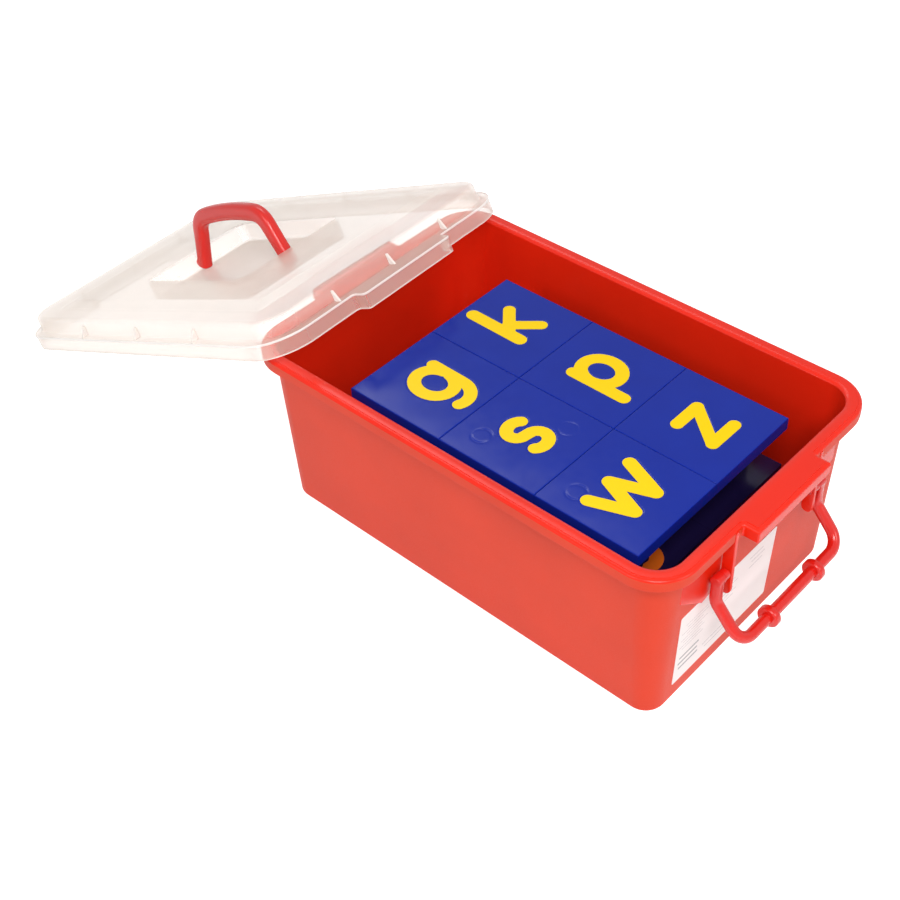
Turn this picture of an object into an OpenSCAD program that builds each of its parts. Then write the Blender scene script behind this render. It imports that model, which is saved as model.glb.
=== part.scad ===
// Art supply box: a tapered plastic tub with two swinging clip handles, a clear lid that leans on
// the tub's far end and carries a folding handle, and a load of square letter tiles.
// The origin is the centre of the tub's base. +X points to the labelled end and +Z up.

/* [Tub] */
// Length over the rim, without the two clip platforms
rim_l = 380; // [372:1:420]
// Width over the rim
rim_w = 245; // [235:1:290]
// Height of the tub
tub_h = 147; // [143:1:180]
// Radius of the rim's corners in plan
rim_r = 32; // [26:1:40]
// Width of the flat rim, from its outer edge to the tub's mouth
flange_w = 9.2; // [8:0.2:11]
// Height of the lip that turns down from the rim
lip_h = 10.5; // [8:0.5:12]
// Thickness of the tub's walls
wall = 2.2; // [1.8:0.1:2.8]
// Thickness of the tub's floor
floor_t = 3; // [2.5:0.1:3]
// How much shorter the base is than the mouth
taper = 11.6; // [8:0.2:14]
// Radius of the base's corners in plan
base_r = 15.5; // [12:0.5:20]

/* [Clip handles] */
// How far each clip platform stands out of the rim
platform_out = 11.5; // [8:0.5:11.5]
// Width of a clip platform
platform_w = 84; // [60:1:84]
// Diameter of the handle's rod
rod_d = 8; // [7:0.5:8.5]
// Distance between the centres of the two legs
clip_span = 119; // [117:1:125]
// Diameter of the two collars on the bar
collar_d = 16; // [12:0.2:16]
// Distance between the collars
collar_span = 54; // [30:1:70]

/* [Lid] */
// Height of the lid's skirt up to its ledge
skirt_h = 12.9; // [11.5:0.1:14]
// Height of the lid's flat top above the bottom of its skirt
lid_h = 27; // [26:0.5:29]
// Thickness of the lid
lid_t = 2; // [1.6:0.1:2.2]
// Distance along the lid from its far tab to the tub's rim that it leans on
rest_at = 339.65; // [330:0.05:340]
// Length of the well that the lid's handle folds into
well_l = 140; // [130:1:150]
// Width of the well
well_w = 108; // [107:1:120]

/* [Tiles] */
// Side of the square that one tile takes in the grid
tile_pitch = 85.2; // [78:0.2:85.6]
// Thickness of one tile
tile_t = 10.9; // [9:0.1:10.9]
// Depth of the inlaid letters
inlay = 1.2; // [0.8:0.1:2]

/* [Hidden] */

$fn = 48;
slice_t = 0.01;
through = 1;
red = "#e03020";
blue = "#1c3494";
yellow = "#f8d000";
orange = "#e07818";
frosted = "#f6efe6";

// Tub: size of the body at height z is the base grown by the taper
mouth_l = rim_l - 2 * flange_w;
mouth_w = rim_w - 2 * flange_w;
mouth_r = rim_r - flange_w;
draft = atan2(taper / 2, tub_h);
flange_t = 2.4;

// Brackets under the rim, one each side of a platform
ear_t = 3.2;
ear_y = 48.6;
ear_x0 = rim_l / 2 - 7.8;
ear_x1 = rim_l / 2 + 0.6;
ear_low = tub_h - 55;
web_end = 90;
web_x = rim_l / 2 - 8.6;

// Clip handle: pivot, knee and bar, in the XZ plane
pivot_x = rim_l / 2 - 3.5;
pivot_z = tub_h - 39.5;
knee_drop = 19.5;
bar_dx = 22.8;
bar_dz = 45.9;
leg_angle = -atan2(bar_dx, bar_dz - knee_drop);
leg_l = norm([bar_dx, bar_dz - knee_drop]);
bend_r = 12;
pin_r = 2.6;
running = 0.06;
eye_r = rod_d / 2 + 0.2;
arm_t = rod_d - 1.6;
knee_r = rod_d / 2 + 0.3;
collar_t = 6;

// Lid, in its own frame: centred in plan, with the bottom of its skirt at z = 0
lid_gap = 3;
lid_l = rim_l + 2 * lid_gap;
lid_w = rim_w + 2 * lid_gap + 0.4;
lid_r = rim_r + 2;
step_in = 7.2;
tab_w = platform_w + 9;
tab_out = platform_out + 1;
bead_out = 1;
plateau_h = 3;
plateau_l = 306;
plateau_w = 202;
plateau_slope = 12;
well_floor = lid_h - 13;
grip_z = well_floor + 6;
rim_reach = 6.1;
table_gap = 0.05;
lean = asin((tub_h - rim_reach - table_gap) / rest_at);
lid_z = (lid_l / 2 + tab_out) * sin(lean) + table_gap;
lid_x = -rim_l / 2 - (tub_h - rim_reach - lid_z) / tan(lean);
lid_y = -11.7;
lid_yaw = 1.44;

// Lid handle, in the lid's frame at its pivot
grip_h = 46;
grip_heel = 2.4;
grip_foot = 64.5;
grip_top = 53;
grip_bend = 14;
grip_lean = 5.7;
leg_w = 9.5;
bar_w = 11;
grip_t = 9;
grip_pin_r = 2.5;

// Tiles: the top layer, three short layers below it, and eight full layers on the floor
top_layer = 11;
full_layers = 8;
tile_gap = 0.2;
rest_gap = 0.05;
grid_x = 21.8;
grid_y = -10.8;
stroke_r = 5.1;
bowl = [13.6, 15.7];

// Rounded rectangle centred on the origin
module rounded(l, w, r) {
  square([l - 2 * r, w], center = true);
  square([l, w - 2 * r], center = true);
  for (sx = [-1, 1], sy = [-1, 1])
    translate([sx * (l / 2 - r), sy * (w / 2 - r)]) circle(r);
}

// Thin slice of the tub's body at height z, drawn in by inset
module tub_slice(z, inset) {
  k = z / tub_h;
  r = base_r + (mouth_r - base_r) * k;
  translate([0, 0, z])
    linear_extrude(slice_t)
      rounded(mouth_l - taper * (1 - k) - 2 * inset, mouth_w - taper * (1 - k) - 2 * inset, r - inset);
}

// Plan of the rim with its two platforms, drawn in by inset
module rim_plan(inset) {
  rounded(rim_l - 2 * inset, rim_w - 2 * inset, rim_r - inset);
  square([rim_l + 2 * platform_out - 2 * inset, platform_w - 2 * inset], center = true);
}

// Ear that holds one pin, and the web that braces it against the end wall
module bracket() {
  translate([0, ear_y + ear_t / 2, 0])
    rotate([90, 0, 0])
      linear_extrude(ear_t) {
        translate([ear_x0, ear_low]) square([ear_x1 - ear_x0, tub_h - flange_t - ear_low]);
        translate([(ear_x0 + ear_x1) / 2, ear_low]) circle((ear_x1 - ear_x0) / 2);
      }
  intersection() {
    linear_extrude(tub_h - lip_h / 2)
      polygon([[rim_l / 2 - 16, ear_y], [web_x, ear_y], [rim_l / 2 - 10.2, web_end],
               [rim_l / 2 - 16, web_end]]);
    translate([rim_l / 2 - 20, 0, 0])
      rotate([90, 0, 90])
        linear_extrude(20)
          polygon([[ear_y, ear_low + 4], [66, ear_low - 1], [web_end, ear_low + 17], [web_end, tub_h],
                   [ear_y, tub_h]]);
  }
}

module tub() {
  color(red)
    difference() {
      union() {
        hull() {
          tub_slice(0, 0);
          tub_slice(tub_h - slice_t, 0);
        }
        translate([0, 0, tub_h - flange_t]) linear_extrude(flange_t) rim_plan(0);
        translate([0, 0, tub_h - lip_h])
          linear_extrude(lip_h)
            difference() {
              rim_plan(0);
              rim_plan(wall);
            }
        for (end = [0, 1], side = [0, 1])
          mirror([end, 0, 0]) mirror([0, side, 0]) bracket();
      }
      hull() {
        tub_slice(floor_t, wall);
        tub_slice(tub_h + through, wall);
      }
      for (end = [-1, 1], side = [-1, 1])
        translate([end * pivot_x, side * ear_y, pivot_z])
          rotate([90, 0, 0])
            cylinder(r = pin_r + running, h = ear_t + 2 * through, center = true);
    }
}

// Paper label on the end wall
module label() {
  label_t = 0.25;
  color("white")
    translate([(mouth_l - taper) / 2, 0, 0])
      rotate([0, draft, 0])
        translate([0.02, -85, 16.5]) cube([label_t, 110, 69.5]);
}

// One side of a clip handle: pin, eye, flat arm, knee, leg, bend and half of the bar
module clip_side() {
  leg_y = clip_span / 2;
  translate([pivot_x, 0, pivot_z]) {
    translate([0, ear_y - ear_t / 2 - 1.2, 0])
      rotate([-90, 0, 0]) cylinder(r = pin_r, h = leg_y - ear_y + ear_t / 2 + 1.2);
    translate([0, leg_y + arm_t / 2, 0]) rotate([90, 0, 0]) cylinder(r = eye_r, h = arm_t);
    translate([-rod_d / 2 + 0.5, leg_y - arm_t / 2, -knee_drop]) cube([rod_d - 1, arm_t, knee_drop]);
    translate([0, leg_y, -knee_drop]) rotate([90, 0, 0]) cylinder(r = knee_r, h = rod_d + 0.6, center = true);
  }
  translate([pivot_x + bar_dx, 0, pivot_z - bar_dz])
    rotate([0, leg_angle, 0]) {
      translate([0, leg_y, bend_r]) cylinder(d = rod_d, h = leg_l - bend_r);
      translate([0, leg_y - bend_r, bend_r])
        rotate([90, 0, 90])
          rotate([0, 0, 270]) rotate_extrude(angle = 90) translate([bend_r, 0]) circle(d = rod_d);
      rotate([-90, 0, 0]) cylinder(d = rod_d, h = leg_y - bend_r);
      translate([0, collar_span / 2 - collar_t / 2, 0])
        rotate([-90, 0, 0]) cylinder(d = collar_d, h = collar_t);
    }
}

module clip_handle() {
  color(red)
    for (side = [0, 1])
      mirror([0, side, 0]) clip_side();
}

module near_clip_handle() {
  clip_handle();
}

module far_clip_handle() {
  rotate([0, 0, 180]) clip_handle();
}

// Puts what is drawn in the lid's frame where the lid leans, with its far tab on the table
module on_lid() {
  translate([lid_x, lid_y, lid_z])
    rotate([0, -lean, lid_yaw]) children();
}

// Plan of the lid's skirt with its two tabs, drawn in by inset
module lid_plan(inset) {
  rounded(lid_l - 2 * inset, lid_w - 2 * inset, lid_r - inset);
  square([lid_l + 2 * tab_out - 2 * inset, tab_w - 2 * inset], center = true);
}

// Plan of the lid's raised part, drawn in by inset
module step_plan(inset) {
  rounded(lid_l - 2 * step_in - 2 * inset, lid_w - 2 * step_in - 2 * inset, lid_r - step_in - inset);
}

// Sloped plateau on the lid's top, lowered by drop
module plateau(drop) {
  hull() {
    translate([0, 0, lid_h - drop]) linear_extrude(slice_t) square([plateau_l, plateau_w], center = true);
    translate([0, 0, lid_h + plateau_h - slice_t - drop])
      linear_extrude(slice_t)
        square([plateau_l - 2 * plateau_slope, plateau_w - 2 * plateau_slope], center = true);
  }
}

// Three-cornered rib between the lid's ledge and its raised wall, pointing along +X
module lid_rib() {
  rib_t = 1.6;
  rib_h = 9;
  translate([-1, rib_t / 2, skirt_h - 0.5])
    rotate([90, 0, 0])
      linear_extrude(rib_t) polygon([[0, 0], [step_in - 1, 0], [1, rib_h], [0, rib_h]]);
}

module lid_in_frame() {
  rib_span = 58;
  rib_pitch = 85;
  difference() {
    union() {
      linear_extrude(skirt_h) difference() {
        lid_plan(0);
        lid_plan(lid_t);
      }
      translate([0, 0, skirt_h - lid_t]) linear_extrude(lid_t) difference() {
        lid_plan(0);
        step_plan(lid_t);
      }
      translate([0, 0, skirt_h - 1.4]) linear_extrude(1.4) difference() {
        rounded(lid_l + 2 * bead_out, lid_w + 2 * bead_out, lid_r + bead_out);
        lid_plan(1);
      }
      translate([0, 0, skirt_h - lid_t]) linear_extrude(lid_h - skirt_h + lid_t) difference() {
        step_plan(0);
        step_plan(lid_t);
      }
      translate([0, 0, lid_h - lid_t]) linear_extrude(lid_t) step_plan(0);
      plateau(0);
      translate([-well_l / 2 - lid_t, -well_w / 2 - lid_t, well_floor - lid_t])
        cube([well_l + 2 * lid_t, well_w + 2 * lid_t, lid_h - well_floor + lid_t]);
      for (turn = [0, 180], i = [-1, 0, 1])
        rotate([0, 0, turn]) translate([lid_l / 2 - step_in, i * rib_span, 0]) lid_rib();
      for (turn = [90, 270], i = [-1, 0, 1])
        rotate([0, 0, turn]) translate([lid_w / 2 - step_in, i * rib_pitch, 0]) lid_rib();
    }
    difference() {
      plateau(lid_t);
      translate([-well_l / 2 - lid_t, -well_w / 2 - lid_t, 0])
        cube([well_l + 2 * lid_t, well_w + 2 * lid_t, lid_h + plateau_h]);
    }
    translate([-well_l / 2, -well_w / 2, well_floor]) cube([well_l, well_w, lid_h]);
    translate([0, 0, grip_z])
      rotate([0, 90, 0])
        cylinder(r = grip_pin_r + running, h = well_l + 4 * lid_t, center = true);
  }
}

module lid() {
  color(frosted, 0.5) on_lid() lid_in_frame();
}

// Points of an arc of radius r about c, from angle a to angle b
function arc(c, r, a, b, n = 10) = [for (i = [0:n]) c + r * [cos(a + (b - a) * i / n), sin(a + (b - a) * i / n)]];

// Outline of half of the handle in its own plane: from the bar's centre out and down, and back inside
function grip_half() =
  let (
    out_r = grip_bend + bar_w / 2,
    in_r = grip_bend - bar_w / 2,
    c = [grip_top - grip_bend, grip_h - grip_bend],
    foot_out = [grip_foot + leg_w / 2, -grip_heel],
    foot_in = [grip_foot - leg_w / 2, -grip_heel]
  )
  concat([[0, grip_h + bar_w / 2 + 1.5]], arc(c, out_r, 84, 12, 12), [foot_out, foot_in],
         arc(c, in_r, 12, 88, 8), [[0, grip_h - bar_w / 2 + 1]]);

module grip_frame() {
  for (side = [0, 1])
    mirror([side, 0, 0])
      rotate([90, 0, 0]) linear_extrude(grip_t, center = true) polygon(grip_half());
  for (side = [-1, 1])
    translate([side * (grip_foot + 1), 0, 0])
      rotate([0, side * 90, 0]) cylinder(r = grip_pin_r, h = well_l / 2 + lid_t - grip_foot - 1.4);
}

module lid_handle() {
  color(red) on_lid() translate([0, 0, grip_z]) rotate([-grip_lean, 0, 0]) grip_frame();
}

// Points of an elliptical arc about c with half axes r
function oval(c, r, a, b, n = 24) =
  [for (i = [0:n]) [c[0] + r[0] * cos(a + (b - a) * i / n), c[1] + r[1] * sin(a + (b - a) * i / n)]];

// Outline of a stroke of half width r along the points p, with round ends
function heading(p, i) =
  let (a = p[max(i - 1, 0)], b = p[min(i + 1, len(p) - 1)]) atan2(b[1] - a[1], b[0] - a[0]);
function ribbon(p, r) =
  let (last = len(p) - 1, cap = 10)
  concat([for (i = [0:last]) p[i] + r * [cos(heading(p, i) + 90), sin(heading(p, i) + 90)]],
         [for (i = [1:cap - 1]) let (t = heading(p, last) + 90 - 180 * i / cap) p[last] + r * [cos(t), sin(t)]],
         [for (i = [last:-1:0]) p[i] + r * [cos(heading(p, i) - 90), sin(heading(p, i) - 90)]],
         [for (i = [1:cap - 1]) let (t = heading(p, 0) - 90 - 180 * i / cap) p[0] + r * [cos(t), sin(t)]]);
module stroke(p, r = stroke_r) {
  polygon(ribbon(p, r));
}

// Round part of p and g, an open ring about c whose ends lie under the stem
module bowl_stroke(c, a, b) {
  stroke(oval(c, bowl, a, b, 32));
}

// Letters, with the tile's centre at the origin, reading to +X and standing along +Y
module glyph(name) {
  if (name == "k") {
    stroke([[-8, 32], [-8.8, -14.7]], 5.4);
    stroke([[-5, -1], [13.9, 15]], 4.8);
    stroke([[-1, 3.5], [14.8, -15.7]], 4.8);
  }
  if (name == "p") {
    stroke([[-12.9, 17], [-13.1, -28.6]]);
    bowl_stroke([0.7, 1.8], -169, 169);
  }
  if (name == "z") {
    stroke([[-11.2, 12.2], [12.4, 12.2]], 4.8);
    stroke([[12.4, 12.2], [-12.6, -18]], 4.6);
    stroke([[-12.6, -18], [12.8, -18.2]], 4.8);
  }
  if (name == "g") {
    stroke(concat([[14.4, 15]], oval([-0.6, -14], [14.4, 16.6], 0, -114, 14)), 4.9);
    bowl_stroke([0, 0.2], 11, 349);
  }
  if (name == "s") {
    stroke(concat(oval([0, 6.6], [9.3, 7.8], 34, 240, 14), oval([0, -9], [9.4, 8.3], 64, -141, 14)), 4.9);
  }
  if (name == "w") {
    stroke([[-23.6, 12.6], [-12.6, -17]]);
    stroke([[-12.6, -17], [-0.7, 12.8]]);
    stroke([[-0.7, 12.8], [10.4, -17]]);
    stroke([[10.4, -17], [22.4, 13.4]]);
  }
  if (name == "j") {
    stroke(concat([[2, 14]], oval([-8, -22], [10, 9.5], 0, -110, 10)), 4.9);
    translate([2, 28]) circle(5.4);
  }
}

function layer_z(layer) = floor_t + rest_gap + layer * tile_t;
function cell(col, row) = [grid_x + (col - 1) * tile_pitch, grid_y + (0.5 - row) * tile_pitch];

// Plain tile with its corner faces on the layer below
module blank(pos, layer) {
  side = tile_pitch - tile_gap;
  translate([pos[0] - side / 2, pos[1] - side / 2, layer_z(layer)]) cube([side, side, tile_t]);
}

// Letter of a tile: the letters' tops point to the tub's far end
module letter_solid(name, pos, layer) {
  translate([pos[0], pos[1], layer_z(layer + 1) - inlay])
    rotate([0, 0, 90]) linear_extrude(inlay) glyph(name);
}

// Pocket that the letter is set in
module pocket(name, pos, layer) {
  translate([pos[0], pos[1], layer_z(layer + 1) - inlay])
    rotate([0, 0, 90]) linear_extrude(inlay + through) glyph(name);
}

module letter_tile(name, col, row) {
  color(blue)
    difference() {
      blank(cell(col, row), top_layer);
      pocket(name, cell(col, row), top_layer);
    }
}

module letter(name, col, row) {
  color(yellow) letter_solid(name, cell(col, row), top_layer);
}

// Four tiles under the joints of the top layer
module riser_layer(i) {
  color(blue)
    for (x = [-59, 59], row = [0, 1])
      blank([grid_x + x, cell(1, row)[1]], full_layers + i - 1);
}

// Six tiles side by side. The topmost full layer has a letter in its corner tile
module full_layer(i) {
  color(blue)
    difference() {
      for (col = [0:2], row = [0, 1])
        blank(cell(col, row), i - 1);
      if (i == full_layers)
        pocket("j", cell(2, 1), i - 1);
    }
}

module letter_j() {
  color(orange) letter_solid("j", cell(2, 1), full_layers - 1);
}

tub();
label();
lid();
lid_handle();
near_clip_handle();
far_clip_handle();
letter_tile("k", 0, 0);  // tile_k
letter("k", 0, 0);  // letter_k
letter_tile("p", 1, 0);  // tile_p
letter("p", 1, 0);  // letter_p
letter_tile("z", 2, 0);  // tile_z
letter("z", 2, 0);  // letter_z
letter_tile("g", 0, 1);  // tile_g
letter("g", 0, 1);  // letter_g
letter_tile("s", 1, 1);  // tile_s
letter("s", 1, 1);  // letter_s
letter_tile("w", 2, 1);  // tile_w
letter("w", 2, 1);  // letter_w
riser_layer(1);  // riser_tiles_1
riser_layer(2);  // riser_tiles_2
riser_layer(3);  // riser_tiles_3
full_layer(1);  // lower_tiles_1
full_layer(2);  // lower_tiles_2
full_layer(3);  // lower_tiles_3
full_layer(4);  // lower_tiles_4
full_layer(5);  // lower_tiles_5
full_layer(6);  // lower_tiles_6
full_layer(7);  // lower_tiles_7
full_layer(8);  // lower_tiles_8
letter_j();
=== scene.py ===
import math

import bpy
import numpy as np
from mathutils import Matrix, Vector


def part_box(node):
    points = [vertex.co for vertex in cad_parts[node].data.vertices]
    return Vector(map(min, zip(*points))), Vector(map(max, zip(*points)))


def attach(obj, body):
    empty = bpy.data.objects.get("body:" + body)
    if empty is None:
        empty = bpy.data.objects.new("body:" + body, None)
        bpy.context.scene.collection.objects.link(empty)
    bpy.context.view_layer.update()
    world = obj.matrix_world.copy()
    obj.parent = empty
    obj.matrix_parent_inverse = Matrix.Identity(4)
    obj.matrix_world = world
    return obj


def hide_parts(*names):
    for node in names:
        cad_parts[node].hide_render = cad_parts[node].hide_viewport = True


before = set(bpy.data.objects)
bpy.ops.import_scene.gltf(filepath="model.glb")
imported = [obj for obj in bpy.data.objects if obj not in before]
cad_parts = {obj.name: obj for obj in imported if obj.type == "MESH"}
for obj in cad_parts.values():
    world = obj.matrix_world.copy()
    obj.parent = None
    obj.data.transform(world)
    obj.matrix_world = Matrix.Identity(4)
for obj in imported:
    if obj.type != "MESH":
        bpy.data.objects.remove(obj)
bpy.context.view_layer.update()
mm = 0.001


def turned(points, axis, degrees):
    # points turned about one of the three axes through the origin, by the usual rotation matrix
    a = math.radians(degrees)
    i, j = [(1, 2), (2, 0), (0, 1)]["xyz".index(axis)]
    out = np.array(points, float)
    out[..., i] = points[..., i] * math.cos(a) - points[..., j] * math.sin(a)
    out[..., j] = points[..., i] * math.sin(a) + points[..., j] * math.cos(a)
    return out


def oval(cx, cy, rx, ry, start, end, steps=24):
    # points on an ellipse: centre plus half sizes times cosine and sine of evenly spaced angles, in degrees
    t = np.radians(np.linspace(start, end, steps + 1))
    return np.stack([cx + rx * np.cos(t), cy + ry * np.sin(t)], 1)


def arc(cx, cy, radius, start, end, steps):
    # the same on a circle
    return oval(cx, cy, radius, radius, start, end, steps)


def line(x0, y0, x1, y1, steps):
    # evenly spaced points from one end to the other
    t = np.linspace(0, 1, steps + 1)[:, None]
    return np.array([x0, y0]) * (1 - t) + np.array([x1, y1]) * t


def joined(*parts):
    # parts end to end, without the points that repeat the one before
    points = np.concatenate(parts)
    keep = np.linalg.norm(np.diff(points, axis=0), axis=1) > 1e-7
    return points[np.concatenate([[True], keep])]


# in mm: the least fillet of an inset tab and, on an end without a tab, how far the outline's points stay
# clear of its corner and how they crowd about the place where a tab's side would be
plan = dict(leastFillet=0.02, clear=4.5, before=8, near=5, spread=4)


def planRing(length, width, radius, tab, out=0.0, inwards=0.0):
    # closed plan outline: a rounded rectangle whose two ends may carry a tab, all moved inwards by a distance
    # in mm. One quarter is drawn, then mirrored twice, so every ring has the same number of points
    x, y, radius = length / 2 - inwards, width / 2 - inwards, radius - inwards
    if out > 0:
        half = tab["width"] / 2 - inwards
        outer = max(tab["fillet"] - inwards, plan["leastFillet"])
        inner = max(tab["fillet"] + inwards, plan["leastFillet"])
        side = joined(line(x + out, 0, x + out, half - outer, 4),
                      arc(x + out - outer, half - outer, outer, 0, 90, 6),
                      arc(x + inner, half + inner, inner, 270, 180, 6))
    else:
        half = min(tab["width"] / 2, y - radius - plan["clear"])
        before, near, spread = half - plan["before"], half - plan["near"], plan["spread"]
        side = joined(line(x, 0, x, before, 4), line(x, before, x, near, 6),
                      line(x, half - spread, x, half + spread, 6))
    quarter = joined(side, line(x, side[-1, 1], x, y - radius, 4),
                     arc(x - radius, y - radius, radius, 0, 90, 14),
                     line(x - radius, y, 0, y, 10))
    left = quarter[::-1][1:] * [-1, 1]
    top = np.concatenate([quarter, left])
    return np.concatenate([top, -top[1:-1]])


def inset(ring, distance):
    # each point moves inwards along the outline's normal, which is the tangent turned by 90 degrees
    tangent = np.roll(ring, -1, 0) - np.roll(ring, 1, 0)
    tangent /= np.linalg.norm(tangent, axis=1)[:, None]
    return ring + distance * np.stack([-tangent[:, 1], tangent[:, 0]], 1)


def at(ring, z):
    # a flat ring lifted to height z, which may be one number or one for each point
    return np.column_stack([ring, np.broadcast_to(z, len(ring))])


def loftFaces(rows, count, start=0):
    # quads between neighbouring rings: corner (i, j) is vertex start + i * count + j
    i, j = np.meshgrid(np.arange(rows - 1), np.arange(count), indexing="ij")
    k = (j + 1) % count
    quads = np.stack([i * count + j, i * count + k, (i + 1) * count + k, (i + 1) * count + j], -1)
    return (quads.reshape(-1, 4) + start).tolist()


def facingOut(verts, faces):
    # six times the solid's volume is the sum over its triangles of one corner dotted with the cross product
    # of the other two. If it is negative, the faces are turned round
    total = 0.0
    for size in (3, 4):
        corners = verts[np.array([f for f in faces if len(f) == size], int).reshape(-1, size)]
        for k in range(1, size - 1):
            total += np.einsum("ij,ij->", corners[:, 0], np.cross(corners[:, k], corners[:, k + 1]))
    return (verts, faces) if total > 0 else (verts, [f[::-1] for f in faces])


def loft(rings, loop=False):
    # surface through the rings in order. Each end is closed with a fan to its middle point, unless the last
    # ring is joined to the first in a loop
    count = len(rings[0])
    verts = np.concatenate(rings)
    if loop:
        return facingOut(verts, [[v % len(verts) for v in f] for f in loftFaces(len(rings) + 1, count)])
    faces = loftFaces(len(rings), count)
    last = len(verts) - count
    j = np.arange(count)
    k = (j + 1) % count
    faces += np.stack([k, j, np.full(count, len(verts))], 1).tolist()
    faces += np.stack([last + j, last + k, np.full(count, len(verts) + 1)], 1).tolist()
    return facingOut(np.vstack([verts, rings[0].mean(0), rings[-1].mean(0)]), faces)


def lathe(profile, steps=40):
    # profile of (distance from the axis, place along the axis) turned about the y axis
    t = np.radians(np.arange(steps) * 360 / steps)
    rings = [np.stack([r * np.cos(t), np.full(steps, s), -r * np.sin(t)], 1) for r, s in profile]
    return loft(rings)


def merged(*shapes):
    # several shapes as one list of vertices and faces
    verts, faces, start = [], [], 0
    for v, f in shapes:
        verts.append(v)
        faces += [[k + start for k in face] for face in f]
        start += len(v)
    return np.concatenate(verts), faces


def mirrored(shape, axis):
    # the same shape on the other side of the plane across an axis, with its faces turned back outwards
    verts, faces = shape
    verts = verts.copy()
    verts[:, "xyz".index(axis)] *= -1
    return verts, [face[::-1] for face in faces]


def moved(shape, change):
    return change(shape[0]), shape[1]


# points round a rod's section, and its domed ends: three rings by their share of the dome's reach, the reach
# as a share of the smaller half size, and how much the last ring shrinks
rod = dict(steps=28, capShares=(0.35, 0.7, 1.0), capReach=0.35, capShrink=0.45)


def sweep(path, halfAcross, halfDeep, power, side):
    # a section carried along a path. The section is a superellipse: its half sizes times the signed
    # power 2/n of cosine and sine. Side is the direction across the path at its start, carried along it
    count, steps = len(path), rod["steps"]
    tangent = np.gradient(path, axis=0)
    tangent /= np.linalg.norm(tangent, axis=1)[:, None]
    sizes = [np.broadcast_to(np.asarray(v, float), count).copy() for v in (halfAcross, halfDeep, power)]
    t = np.arange(steps) * 2 * math.pi / steps
    across = np.array(side, float)
    rings = []
    for k in range(count):
        across = across - (across @ tangent[k]) * tangent[k]
        across /= np.linalg.norm(across)
        deep = np.cross(tangent[k], across)
        u = sizes[0][k] * np.sign(np.cos(t)) * np.abs(np.cos(t)) ** (2 / sizes[2][k])
        v = sizes[1][k] * np.sign(np.sin(t)) * np.abs(np.sin(t)) ** (2 / sizes[2][k])
        rings.append(path[k] + u[:, None] * across + v[:, None] * deep)
    for end, way in ((0, -1), (-1, 1)):
        # each end is capped by smaller rings that bulge outwards
        middle, ring = path[end], rings[end]
        reach = rod["capReach"] * min(sizes[0][end], sizes[1][end])
        for share in rod["capShares"]:
            shrink = 1 - (1 - math.sqrt(1 - share ** 2)) * rod["capShrink"]
            cap = middle + (ring - middle) * shrink + way * reach * share * tangent[end]
            rings = rings + [cap] if end else [cap] + rings
    return loft(rings)


def rounded(points, radii, steps=8):
    # a path of straight runs whose corners are arcs. An arc starts before its corner by its radius divided by
    # the tangent of half the angle between the runs
    points = [np.array(p, float) for p in points]
    out = [points[0]]
    for before, corner, after, radius in zip(points, points[1:], points[2:], radii):
        a, b = (before - corner), (after - corner)
        a, b = a / np.linalg.norm(a), b / np.linalg.norm(b)
        half = math.acos(np.clip(a @ b, -1, 1)) / 2
        middle = corner + (a + b) / np.linalg.norm(a + b) * radius / math.sin(half)
        back = radius / math.tan(half)
        start, stop = corner + a * back - middle, corner + b * back - middle
        turn = math.pi - 2 * half
        for k in range(steps + 1):
            # the radius turns evenly from start to stop: each is weighed by the sine of its distance in angle
            # from the other end
            gone = turn * k / steps
            spoke = (start * math.sin(turn - gone) + stop * math.sin(gone)) / math.sin(turn)
            out.append(middle + spoke)
    return np.array(out + [points[-1]])


def resampled(path, spacing):
    # the same path with its points about the same distance apart, by linear interpolation along its length
    along = np.concatenate([[0], np.cumsum(np.linalg.norm(np.diff(path, axis=0), axis=1))])
    s = np.linspace(0, along[-1], max(2, round(along[-1] / spacing)) + 1)
    return np.stack([np.interp(s, along, path[:, k]) for k in range(3)], 1)


def addPiece(name, shape, body, materials, sharp=38, replaces=(), pick=None):
    # a mesh object from a shape in mm. Pick chooses each face's material from its centre and normal
    verts, faces = shape
    mesh = bpy.data.meshes.new(name)
    mesh.from_pydata((verts * mm).tolist(), [], faces)
    mesh.validate()
    for material in materials:
        mesh.materials.append(material)
    if pick:
        centre, normal = np.zeros(len(mesh.polygons) * 3), np.zeros(len(mesh.polygons) * 3)
        mesh.polygons.foreach_get("center", centre)
        mesh.polygons.foreach_get("normal", normal)
        which = pick(centre.reshape(-1, 3) / mm, normal.reshape(-1, 3)).astype(np.int32)
        mesh.polygons.foreach_set("material_index", which)
    piece = bpy.data.objects.new(name, mesh)
    bpy.context.scene.collection.objects.link(piece)
    mesh.shade_smooth()
    mesh.set_sharp_from_angle(angle=math.radians(sharp))
    flat = piece.modifiers.new("flatFaces", "WEIGHTED_NORMAL")
    flat.keep_sharp = True
    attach(piece, body)
    if replaces:
        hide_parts(*replaces)


def linear(code):
    # sRGB hex to linear light: the standard curve, power 2.4 above 0.04045 and a straight line below
    parts = [int(code[i:i + 2], 16) / 255 for i in (1, 3, 5)]
    return [c / 12.92 if c <= 0.04045 else ((c + 0.055) / 1.055) ** 2.4 for c in parts] + [1.0]


def newMaterial(name):
    material = bpy.data.materials.new(name)
    material.use_nodes = True
    return material, material.node_tree, material.node_tree.nodes["Principled BSDF"]


def add(tree, kind, settings=None, **links):
    # one node with its settings. A link is a value or an (output) socket, put into the named input
    node = tree.nodes.new(kind)
    for key, value in (settings or {}).items():
        setattr(node, key, value)
    for key, value in links.items():
        socket = node.inputs[int(key[1:]) if key[0] == "i" and key[1:].isdigit() else key]
        if isinstance(value, bpy.types.NodeSocket):
            tree.links.new(value, socket)
        else:
            socket.default_value = value
    return node


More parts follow.
